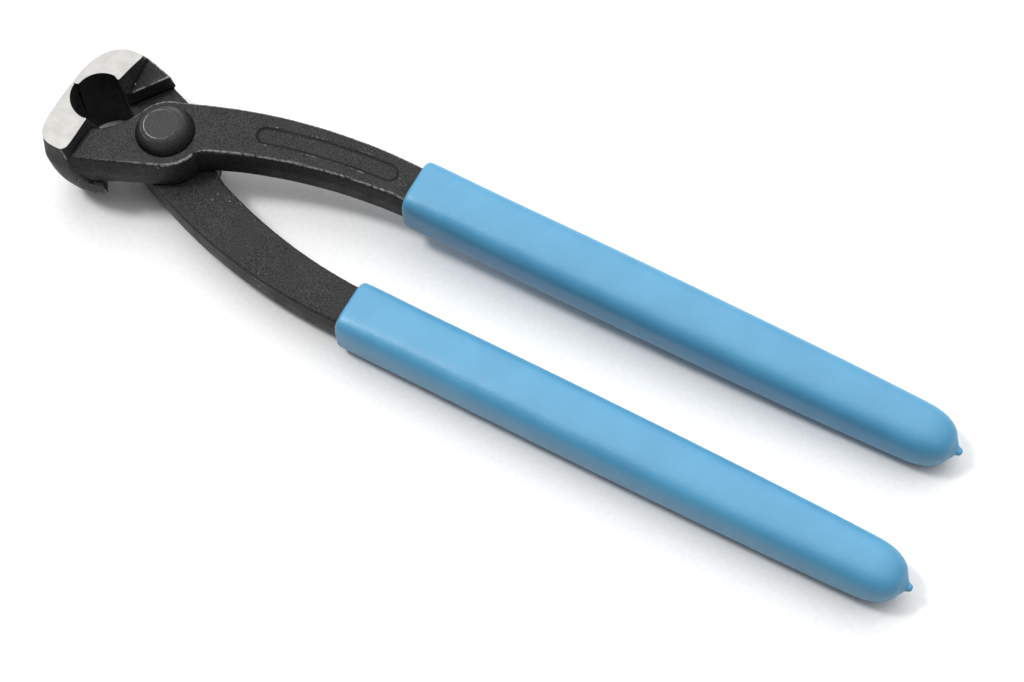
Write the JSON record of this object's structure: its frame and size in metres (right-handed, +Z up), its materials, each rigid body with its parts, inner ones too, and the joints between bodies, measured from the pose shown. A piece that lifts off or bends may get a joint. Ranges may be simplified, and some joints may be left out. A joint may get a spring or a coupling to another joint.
{
  "type": "ear clamp pliers",
  "caption": "Forged lap-joint pincers with crescent jaws for closing ear clamps, a domed rivet pivot and dip-coated handles.",
  "frame": {"origin": "under the middle of the closed tool, level with the lower ground faces of the jaws", "axes": "+X from the jaws to the handle ends, +Y across the tool towards the upper handle, +Z up along the rivet"},
  "size_m": [0.2196, 0.0466, 0.0228],
  "materials": {
    "forged_steel": "black phosphated forging with ground jaw faces",
    "rivet_steel": "black phosphated, smooth",
    "grip_coating": "satin dipped vinyl"
  },
  "bodies": {
    "upper_half": {"upper_lever": "forged_steel", "upper_grip": "grip_coating", "pivot_rivet": "rivet_steel"},
    "lower_half": {"lower_lever": "forged_steel", "lower_grip": "grip_coating"}
  },
  "joints": [
    {"name": "pivot_hinge", "type": "hinge", "parent": "upper_half", "child": "lower_half", "pos_m": [-0.08494, 0, 0.01105], "axis": [0, 0, -1], "range_deg": [0, 68]}
  ]
}
